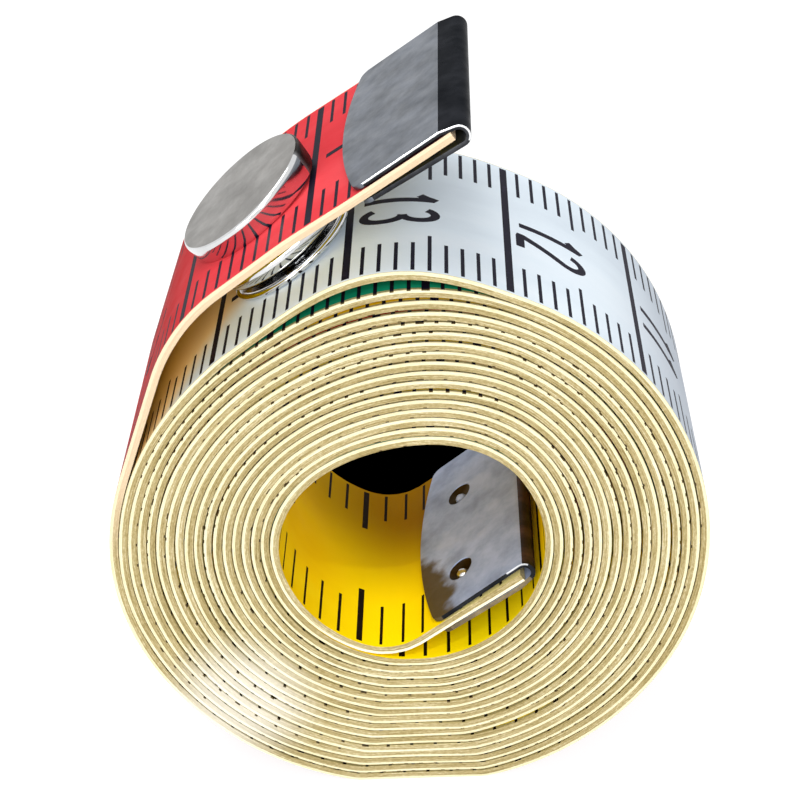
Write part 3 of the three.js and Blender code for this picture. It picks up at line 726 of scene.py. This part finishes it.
def cm_length(number):
    return LENGTH + CM_SHIFT - 10 * number


on_roll = [(str(n), cm_length(n)) for n in range(4, 15) if cm_length(n) + GLYPH_ROOM < AT_FLAP]
on_flap = [(str(n), cm_length(n)) for n in range(1, 4) if cm_length(n) > AT_FLAP - 1]
roll_numbers = numbers("roll_numbers", on_roll, True)
flap_numbers = numbers("flap_numbers", on_flap, True)
in_eye = [("1", INCH - INCH_SHIFT), ("2", 2 * INCH - INCH_SHIFT)]
inch_numbers = numbers("inch_numbers", in_eye, False)


# Clips: a sheet folded round the tape's end, with a bowed free edge and rounded corners.
SHEET, PLAY, PINCH, CLIP_LENGTH, CLIP_CROWN, CLIP_INSET = 0.3, 0.33, 0.27, 8.85, 1.2, 0.15
# The jaw away from the picture's side stands open less.
FAR_PLAY, FAR_PINCH = 0.14, 0.1
CLIP_CORNER, CLIP_NOSE, BEVEL_LENGTH, BEVEL_ANGLE = 0.6, 1.0, 1.6, 12.0
HOLE_LENGTH, HOLE_WIDTH, HOLE_FROM_NOSE, HOLE_FROM_MIDDLE, HOLE_OFFSET = 1.9, 2.1, 5.4, 4.7, 0.6
CLIP_ROWS, UPPER_STEPS, NOSE_STEPS, LOWER_STEPS = 41, 12, 16, 14
CLIP_BEVEL, CLIP_BEVEL_OVER, SHINING_SHARE = 0.07, 50, 0.4
# Faces round the fold, from the upper free edge to the lower one: those of the nose, and along
# the cut side those given a painted highlight and those given painted shade. The rest of the side
# is the lower jaw's.
NOSE_FACES = range(11, 25)
SHINING = {False: range(24), True: range(22, 29)}
SHADED = {False: range(22), True: range(12, 40)}


def pierce(obj, end, axis, angle):
    """Cuts the two holes through a clip."""
    for v in (-HOLE_FROM_MIDDLE, HOLE_FROM_MIDDLE):
        spot = in_frame(end + axis * (CLIP_NOSE - HOLE_FROM_NOSE), v - HOLE_OFFSET)
        bpy.ops.mesh.primitive_cylinder_add(vertices=40, radius=HOLE_WIDTH / 2 * MM, depth=6 * MM)
        cutter = bpy.context.active_object
        stretch = Matrix.Diagonal((HOLE_LENGTH / HOLE_WIDTH, 1, 1, 1))
        turn = Matrix.Rotation(-math.radians(angle), 4, "Y")
        cutter.data.transform(Matrix.Translation(spot) @ turn @ stretch)
        cut = obj.modifiers.new("cut", "BOOLEAN")
        cut.object, cut.operation, cut.solver = cutter, "DIFFERENCE", "EXACT"
        bpy.context.view_layer.objects.active = obj
        bpy.ops.object.modifier_apply(modifier="cut")
        bpy.data.objects.remove(cutter, do_unlink=True)


def clip(name, end, angle, turned_over, holes, slots):
    """A clip on the tape's end; slots for plate, painted highlight, nose, painted shade, lower jaw.
    """
    half_width = WIDTH / 2 - CLIP_INSET
    plays = (FAR_PLAY, PLAY) if turned_over else (PLAY, FAR_PLAY)
    pinches = (FAR_PINCH, PINCH) if turned_over else (PINCH, FAR_PINCH)
    upper = plays[0] + SHEET / 2
    lower = -CLOTH - plays[1] - SHEET / 2
    bow = (half_width ** 2 + CLIP_CROWN ** 2) / (2 * CLIP_CROWN)
    tip = CLIP_NOSE - SHEET / 2
    bevel_start, free = CLIP_NOSE - BEVEL_LENGTH, CLIP_NOSE - CLIP_LENGTH
    slope = math.tan(math.radians(BEVEL_ANGLE))
    # The nose's place and its radius hang on each other, and a few rounds settle both.
    nose_x = tip - 0.6
    for _ in range(6):
        nose_x = tip - (upper - (nose_x - bevel_start) * slope - lower) / 2
    nose_r = (upper - (nose_x - bevel_start) * slope - lower) / 2

    def back_edge(v):
        edge = CLIP_NOSE - CLIP_LENGTH + bow - math.sqrt(bow ** 2 - v ** 2)
        past = abs(v) - (half_width - CLIP_CORNER)
        if past > 0:
            edge += CLIP_CORNER - math.sqrt(max(CLIP_CORNER ** 2 - past ** 2, 0))
        return edge

    rows = []
    spread = [math.sin(t) for t in np.linspace(-math.pi / 2, math.pi / 2, CLIP_ROWS)]
    for v in [s * half_width for s in spread]:
        back = back_edge(v)
        path = [(x, upper - pinches[0] * (bevel_start - x) / (bevel_start - free))
                for x in np.linspace(back, bevel_start, UPPER_STEPS)]
        for out, up in map(heading, np.linspace(90 - BEVEL_ANGLE, -90, NOSE_STEPS)):
            path.append((nose_x + nose_r * out, lower + nose_r + nose_r * up))
        path += [(x, lower + pinches[1] * (nose_x - x) / (nose_x - free))
                 for x in np.linspace(nose_x, back, LOWER_STEPS)[1:]]
        path = np.array(path)
        left = left_sides(path)
        rows.append((v, path + left * SHEET / 2, path - left * SHEET / 2))
    bm = bmesh.new()
    grid = []
    flip = -1 if turned_over else 1
    axis = heading(angle)
    off = np.array([-axis[1], axis[0]]) * flip
    for v, outside, inside in rows:
        skins = [outside, inside]
        if abs(v) == half_width:
            skins.append(mix(outside, inside, SHINING_SHARE))
        grid.append([[bm.verts.new(in_frame(end + axis * p[0] + off * p[1], v)) for p in skin]
                     for skin in skins])
    steps = len(rows[0][1])
    for a, b in zip(grid, grid[1:]):
        for skin in (0, 1):
            for i in range(steps - 1):
                face = bm.faces.new((a[skin][i], a[skin][i + 1], b[skin][i + 1], b[skin][i]))
                face.material_index = 2 if i in NOSE_FACES and skin == 0 else 0
        for i in (0, steps - 1):
            ring = [a[k][i] for k in ((0, 2, 1) if len(a) > 2 else (0, 1))]
            ring += [b[k][i] for k in ((1, 2, 0) if len(b) > 2 else (1, 0))]
            bm.faces.new(ring)
    # The cut sides get a painted highlight, painted shade, or the lower jaw's slot.
    shining, shaded = SHINING[turned_over], SHADED[turned_over]
    for side in (grid[0], grid[-1]):
        for a, b, outer in ((0, 2, True), (2, 1, False)):
            for i in range(steps - 1):
                face = bm.faces.new((side[a][i], side[b][i], side[b][i + 1], side[a][i + 1]))
                face.material_index = 1 if outer and i in shining else 3 if i in shaded else 4
    obj = new_object(name, mesh_from(name, bm, slots))
    if holes:
        pierce(obj, end, axis, angle)
    bevel = obj.modifiers.new("bevel", "BEVEL")
    bevel.width, bevel.segments, bevel.limit_method = CLIP_BEVEL * MM, 2, "ANGLE"
    bevel.angle_limit = math.radians(CLIP_BEVEL_OVER)
    bpy.context.view_layer.objects.active = obj
    bpy.ops.object.modifier_apply(modifier="bevel")
    obj.data.polygons.foreach_set("use_smooth", [True] * len(obj.data.polygons))
    obj.data.set_sharp_from_angle(angle=METAL_SHARP)
    return obj


outer_clip = clip("outer_clip", FLAP_END, END_ANGLE, turned_over=False, holes=False,
                  slots=("plate", "sheared", "nose", "shade", "shade"))
inner_clip = clip("inner_clip", TAIL_END, TAIL_ANGLE, turned_over=True, holes=True,
                  slots=("worn plate", "sheared", "worn nose", "shade", "worn edge"))


# The snap's turned pieces, from profiles of radius and height above a seat.
def rounded(points, radius, steps=5):
    """Profile with its corners rounded off, all but the first and last."""
    points = [np.array(p, float) for p in points]
    out = [points[0]]
    for a, b, c in zip(points, points[1:], points[2:]):
        reach = min(radius, np.linalg.norm(a - b) / 2.2, np.linalg.norm(c - b) / 2.2)
        start, end = [b + (p - b) / np.linalg.norm(p - b) * reach for p in (a, c)]
        for t in np.linspace(0, 1, steps):
            out.append((1 - t) ** 2 * start + 2 * t * (1 - t) * b + t ** 2 * end)
    return out + [points[-1]]


def spin(bm, profile, foot, angle, slot_of=lambda r, h, t: 0, sides=96):
    """A closed turned shape: profile of radius and height, about an axis square to an angle.

    slot_of gives a face's slot by radius, height and degrees round the axis: 0 is along the tape
    towards its end, 90 away from the picture's side.
    """
    out, up = heading(angle)
    axis, along, across = Vector((-up, 0, out)), Vector((out, 0, up)), Vector((0, 1, 0))
    rings = []
    for r, h in profile:
        if r < 1e-6:
            rings.append([bm.verts.new(foot + axis * h * MM)])
            continue
        ring = []
        for k in range(sides):
            t = 2 * math.pi * k / sides
            side = along * math.cos(t) + across * math.sin(t)
            ring.append(bm.verts.new(foot + axis * h * MM + side * r * MM))
        rings.append(ring)
    for n, (a, b) in enumerate(zip(rings, rings[1:])):
        r, h = [(profile[n][i] + profile[n + 1][i]) / 2 for i in (0, 1)]
        for k in range(sides):
            m = (k + 1) % sides
            if len(a) == 1:
                face = bm.faces.new((a[0], b[k], b[m]))
            elif len(b) == 1:
                face = bm.faces.new((a[k], b[0], a[m]))
            else:
                face = bm.faces.new((a[k], b[k], b[m], a[m]))
            face.material_index = slot_of(r, h, 360 * k / sides)
    if len(rings[0]) > 1:
        for k in range(sides):
            m = (k + 1) % sides
            bm.faces.new((rings[-1][k], rings[0][k], rings[0][m], rings[-1][m]))


def finished(name, bm, slots):
    """The smooth metal piece made of what a mesh in the making holds."""
    for face in bm.faces:
        face.smooth = True
    mesh = mesh_from(name, bm, slots)
    mesh.set_sharp_from_angle(angle=METAL_SHARP)
    return new_object(name, mesh)


def turned(name, profile, seat, slots, slot_of=lambda r, h, t: 0):
    bm = bmesh.new()
    spin(bm, profile, in_frame(seat, -SNAP_OFFSET), SNAP_ANGLE, slot_of)
    return finished(name, bm, slots)


CUP_DEPTH, POINT_SHIFT, CUP_ALONG_JAW = 0.42, 0.1, 0.56


def hole_cups():
    """Dished cups pressed into the holes of the inner clip, with a bright point in each."""
    bm = bmesh.new()
    top = CLOTH + PLAY + SHEET - PINCH * CUP_ALONG_JAW
    # The cups' dark colour is painted shade in the holes.
    cup = [(0, -0.4), (0.42, -0.42), (0.72, -0.24), (0.97, -0.05), (0.97, -0.13), (0.7, -0.32),
           (0.42, -0.47), (0, -0.47)]
    point = [(0, 0.4)] + rounded([(0.12, 0.38), (0.34, 0.24), (0.46, 0)], 0.06, 3) + [(0, 0)]
    along, up = heading(TAIL_ANGLE), heading(TAIL_ANGLE + 90)
    spot = TAIL_END + along * (CLIP_NOSE - HOLE_FROM_NOSE)
    for side, bright in ((-1, 1), (1, 2)):
        v = side * HOLE_FROM_MIDDLE - HOLE_OFFSET
        spin(bm, cup, in_frame(spot + up * top, v), TAIL_ANGLE, sides=40)
        foot = in_frame(spot + up * (top - CUP_DEPTH) - along * POINT_SHIFT, v - POINT_SHIFT)
        spin(bm, point, foot, TAIL_ANGLE, lambda r, h, t: bright, sides=24)
    return finished("clip_cups", bm, ("cup", "sheared", "worn plate"))


clip_cups = hole_cups()

CAP_TOP, CAP_HEIGHT = 4.74, 1.72
# The cap sits a little askew: its top rises along the tape and towards the back.
CAP_TILT, CAP_LEAN, CAP_TILT_AT_BASE = 2.65, 3.6, 0.3
cap_profile = [(0, CAP_HEIGHT)] + rounded([
    (0.4, CAP_HEIGHT), (CAP_TOP, CAP_HEIGHT), (CAP_TOP + 0.1, CAP_HEIGHT - 0.09),
    (CAP_TOP + 0.13, CAP_HEIGHT - 0.35), (CAP_TOP + 0.02, 0.35), (CAP_TOP - 0.06, 0.09),
    (0.5, 0.09),
], 0.1) + [(0, 0.09)]
# The wall towards the clip gets painted shade, a dark material, between these degrees round the
# cap.
SHADE_FROM, SHADE_TO = 342, 80


def cap_slot(r, h, t):
    if h > CAP_HEIGHT - 0.03 and r < CAP_TOP:
        return 0
    return 2 if t < SHADE_TO or t > SHADE_FROM else 1


cap = turned("cap", cap_profile, CAP_SEAT, ("cap", "chrome", "cap shade"), cap_slot)


def tilt_cap():
    """Leans the cap, its top most and its base least."""
    foot = in_frame(CAP_SEAT, -SNAP_OFFSET)
    axis = Vector((SNAP_AXIS[0], 0, SNAP_AXIS[1]))
    out, up = heading(SNAP_ANGLE)
    along = Vector((out, 0, up))
    for vertex in cap.data.vertices:
        off = vertex.co - foot
        share = mix(CAP_TILT_AT_BASE, 1, off.dot(axis) / (CAP_HEIGHT * MM))
        rise = math.tan(math.radians(CAP_TILT)) * off.dot(along)
        rise += math.tan(math.radians(CAP_LEAN)) * off.y
        vertex.co += axis * rise * share


tilt_cap()

socket_profile = rounded([
    (1.4, 3.06), (2.95, 3.06), (3.7, 2.76), (4.35, 2.28), (4.72, 1.8), (4.7, 1.25), (4.25, 0.78),
    (2.2, 0.82), (2.15, 1.11), (2.95, 1.14), (2.95, 1.88), (2.15, 2.25), (2.15, 2.66), (1.4, 2.66),
], 0.25)
socket = turned("socket", socket_profile, STUD_SEAT, ("chrome",))

stud_profile = [(0, 2.14)] + rounded([
    (0.5, 2.12), (1.3, 1.98), (1.6, 1.6), (1.56, 1.2), (1.3, 0.8), (1.34, 0.5), (4.1, 0.42),
    (4.35, 0.5), (4.58, 0.34), (4.5, 0.06), (0.5, 0.04),
], 0.1) + [(0, 0.04)]
stud = turned("stud", stud_profile, STUD_SEAT, ("chrome",))


# What each piece rides on, and what it stands for.
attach(wound, "roll")
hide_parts("tape_roll")
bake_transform(outer_end)
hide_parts("tape_flap")
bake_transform(inner_end)
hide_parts("tape_tail")
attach(roll_numbers, "roll")
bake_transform(flap_numbers)
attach(inch_numbers, "roll")
for piece, body, node, slot in (
    (outer_clip, "flap", "outer_end_clip", "clip_steel"),
    (inner_clip, "tail", "inner_end_clip", "clip_steel"),
    (cap, "flap", "snap_cap", "cap_steel"),
    (socket, "flap", "snap_socket", "snap_chrome"),
    (stud, "roll", "snap_stud", "snap_chrome"),
):
    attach(piece, body)
    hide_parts(node)
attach(clip_cups, "tail")
for node, slot in (("socket_ring_spring", "wire"), ("stud_eyelet", "chrome")):
    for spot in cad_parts[node].material_slots:
        spot.material = MATERIALS[slot]


# Floor, light and camera. The floor is white to the eye and keeps a soft shadow. The glow and the
# world's light have one strength on the object and another as the camera sees them.
FLOOR_GREY, FLOOR_GLOW, FLOOR_GLOW_SEEN, WORLD_LIGHT, WORLD_LIGHT_SEEN = 0.26, 0.35, 0.84, 0.53, 1.0


def strength_seen(tree, rays, unseen, seen):
    """A strength that is one value for the named rays and another for all others."""
    path = tree.node("LightPath", {})
    share = path.outputs[rays[0]]
    for ray in rays[1:]:
        share = tree.math("MAXIMUM", share, path.outputs[ray])
    return tree.map_range(share, 0.0, 1.0, unseen, seen, "LINEAR")


def stage_floor():
    bpy.ops.mesh.primitive_plane_add(size=6)
    floor = bpy.context.active_object
    floor.name = "floor"
    s = Shader("Floor", roughness=0.9, specular=0.0)
    s.sockets["Base Color"].default_value = (FLOOR_GREY, FLOOR_GREY, FLOOR_GREY, 1)
    rays = ("Is Camera Ray", "Is Glossy Ray")
    strength = strength_seen(s, rays, FLOOR_GLOW, FLOOR_GLOW_SEEN)
    lift = s.node("Emission", {"Strength": strength})
    added = s.node("AddShader", {0: s.bsdf.outputs[0], 1: lift.outputs[0]})
    s.links.new(added.outputs[0], s.nodes["Material Output"].inputs["Surface"])
    floor.data.materials.append(s.material)


def stage_shade():
    """A black painted shadow where the camera's view through the hole meets the floor. No lamp
    casts it.
    """
    centre, reach, rim = Vector((-0.00066, 0.03103, 0.0001)), (0.0077, 0.0043), 2.0
    mesh = bpy.data.meshes.new("shade")
    corners = [centre + Vector((rim * reach[0] * x, rim * reach[1] * y, 0))
               for x, y in ((-1, -1), (1, -1), (1, 1), (-1, 1))]
    mesh.from_pydata(corners, [], [(0, 1, 2, 3)])
    s = Shader("Painted shadow behind the hole", roughness=1.0, specular=0.0)
    s.sockets["Base Color"].default_value = (0, 0, 0, 1)
    from_centre = s.node("Mapping", {"Vector": s.place(False), "Location": centre,
                                     "Scale": (*reach, 1)}, vector_type="TEXTURE")
    away = s.node("VectorMath", {0: from_centre.outputs[0]}, operation="LENGTH").outputs["Value"]
    share = s.math("POWER", s.map_range(away, rim, 1.0, 0.0, 1.0), 1.8)
    clear = s.node("BsdfTransparent", {})
    mixed = s.node("MixShader", {0: share, 1: clear.outputs[0], 2: s.bsdf.outputs[0]})
    s.links.new(mixed.outputs[0], s.nodes["Material Output"].inputs["Surface"])
    mesh.materials.append(s.material)
    shade = new_object("shade", mesh)


def stage_world():
    world = bpy.data.worlds.new("World")
    bpy.context.scene.world = world
    world.use_nodes = True
    tree = Nodes(world.node_tree)
    rays = ("Is Camera Ray", "Is Glossy Ray", "Is Transmission Ray")
    strength = strength_seen(tree, rays, WORLD_LIGHT, WORLD_LIGHT_SEEN)
    background = tree.nodes["Background"]
    tree.links.new(strength, background.inputs["Strength"])
    background.inputs["Color"].default_value = (1, 1, 1, 1)


def lamp(name, kind, place, target, power):
    """A lamp at a place that looks at a target; its own data is given back to set."""
    data = bpy.data.lights.new(name, kind)
    data.energy = power
    made = new_object(name, data)
    made.location = place
    made.rotation_euler = (Vector(target) - Vector(place)).to_track_quat("-Z", "Y").to_euler()
    return data


stage_floor()
stage_shade()
stage_world()
lamp("key", "AREA", (0.07, -0.43, 0.29), (0, 0, 0.022), 1.75).size = 0.3
lamp("low", "AREA", (-0.12, -0.42, 0.07), (0, 0, 0.022), 0.95).size = 0.2
lamp("top", "AREA", (-0.12, 0.05, 0.5), (0, 0, 0.025), 1.0).size = 0.3
# A narrow lamp on the yellow face in the roll's hole.
eye_lamp = lamp("eye", "SPOT", (0.02, -0.145, 0.24), (-0.001, -0.006, 0.0105), 0.9)
eye_lamp.spot_size, eye_lamp.spot_blend = math.radians(3.4), 1.0
eye_lamp.shadow_soft_size = 0.004

camera_data = bpy.data.cameras.new("camera")
camera_data.lens = 97.93
camera_data.sensor_width = 36
camera_data.clip_start = 0.01
camera = new_object("camera", camera_data)
camera.location = (0.005242, -0.126039, 0.076185 + AXIS_HEIGHT * MM)
camera.rotation_euler = (1.0589, 0.0540, 0.0146)
bpy.context.scene.camera = camera
bpy.context.scene.view_settings.view_transform = "Standard"
